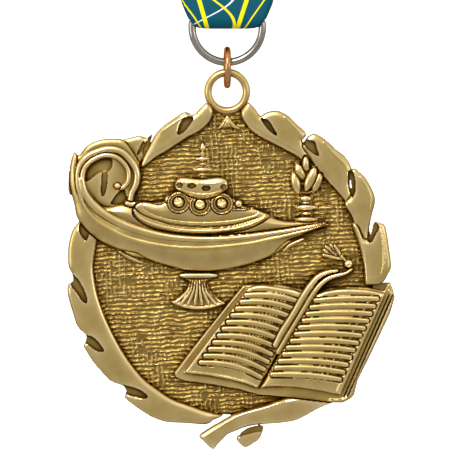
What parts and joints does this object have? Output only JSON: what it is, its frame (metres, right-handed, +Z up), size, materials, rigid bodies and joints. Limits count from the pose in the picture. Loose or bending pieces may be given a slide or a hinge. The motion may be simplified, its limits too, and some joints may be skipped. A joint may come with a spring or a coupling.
{
  "type": "award medal with neck ribbon",
  "caption": "Cast award medal with lamp, open book and laurel wreath in relief, on a jump ring, a ribbon ring and a folded neck ribbon.",
  "frame": {"origin": "level with the axis of the rod or hook that the ribbon hangs over, in the middle plane of the ribbon's front band and the rings, 4.5 mm in front of the rod's axis", "axes": "+Z up, the front of the medal faces -Y, +X to the right seen from the front"},
  "size_m": [0.0544, 0.0235, 0.1276],
  "materials": {
    "casting": "antique gold, satin, dark in the recesses",
    "ring_nickel": "bright nickel wire",
    "jump_copper": "rose gold wire",
    "ribbon_cloth": "printed satin ribbon",
    "thread": "sewing thread",
    "tie_elastic": "woven elastic"
  },
  "bodies": {
    "ribbon": {"neck_ribbon": "ribbon_cloth", "ribbon_hank": "ribbon_cloth", "ribbon_stitching": "thread", "ribbon_tie": "tie_elastic"},
    "ring": {"ribbon_ring": "ring_nickel"},
    "jump": {"jump_ring": "jump_copper"},
    "medallion": {"medal_plate": "casting", "suspension_loop": "casting", "loop_leaf": "casting", "wreath_left": "casting", "wreath_right": "casting", "crossed_stems": "casting", "lamp_bowl": "casting", "lamp_rim": "casting", "lamp_handle": "casting", "lamp_lid": "casting", "lamp_pearls": "casting", "lamp_crown": "casting", "lamp_finial": "casting", "lamp_burner": "casting", "lamp_flame": "casting", "lamp_foot": "casting", "book_cover": "casting", "left_pages": "casting", "right_pages": "casting", "page_lines": "casting", "bookmark": "casting", "bookmark_tassel": "casting"}
  },
  "joints": [
    {"name": "ring_swing", "type": "hinge", "parent": "ribbon", "child": "ring", "pos_m": [0, 0, -0.0506], "axis": [1, 0, 0], "range_deg": [-65, 65]},
    {"name": "jump_swing", "type": "hinge", "parent": "ring", "child": "jump", "pos_m": [0, 0, -0.05805], "axis": [1, 0, 0], "range_deg": [-45, 45]},
    {"name": "medal_swing", "type": "hinge", "parent": "jump", "child": "medallion", "pos_m": [0, 0, -0.06185], "axis": [0, 1, 0], "range_deg": [-45, 45]}
  ]
}
